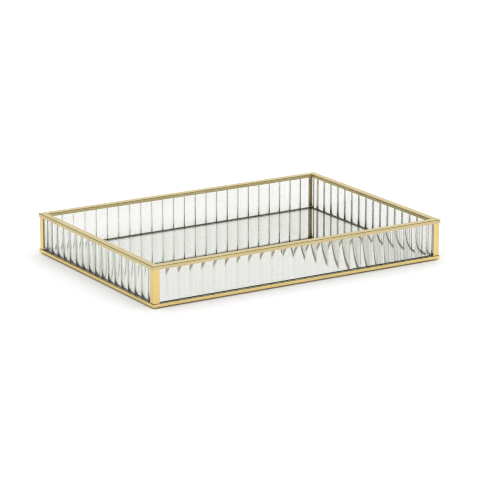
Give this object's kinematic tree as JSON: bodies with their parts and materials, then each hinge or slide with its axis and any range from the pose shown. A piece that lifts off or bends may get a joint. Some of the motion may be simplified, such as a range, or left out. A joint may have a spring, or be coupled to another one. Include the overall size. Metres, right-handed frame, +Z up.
{
  "type": "vanity tray",
  "caption": "Rectangular mirrored vanity tray with fluted clear glass walls in a satin brass-finished sheet frame, for perfume bottles and small accessories.",
  "frame": {"origin": "on the ground under the middle of the tray", "axes": "+X along the long side, -Y through the front wall, +Z up"},
  "size_m": [0.32, 0.224, 0.0405],
  "materials": {
    "satin_brass": "satin, pale gold",
    "fluted_glass": "clear, pressed vertical flutes outside, polished inside",
    "mirror": "silvered on the back, dark green ground edges",
    "backing": "matt black sheet",
    "pad_rubber": "matt"
  },
  "bodies": {
    "root": {"mirror_base": "mirror", "backing_sheet": "backing", "glass_wall_front": "fluted_glass", "glass_wall_right": "fluted_glass", "glass_wall_back": "fluted_glass", "glass_wall_left": "fluted_glass", "rim_channel_front": "satin_brass", "rim_channel_right": "satin_brass", "rim_channel_back": "satin_brass", "rim_channel_left": "satin_brass", "bottom_rail_front": "satin_brass", "bottom_rail_right": "satin_brass", "bottom_rail_back": "satin_brass", "bottom_rail_left": "satin_brass", "corner_post_front_left": "satin_brass", "corner_post_front_right": "satin_brass", "corner_post_back_right": "satin_brass", "corner_post_back_left": "satin_brass", "foot_pad_front_left": "pad_rubber", "foot_pad_front_right": "pad_rubber", "foot_pad_back_right": "pad_rubber", "foot_pad_back_left": "pad_rubber"}
  },
  "joints": []
}
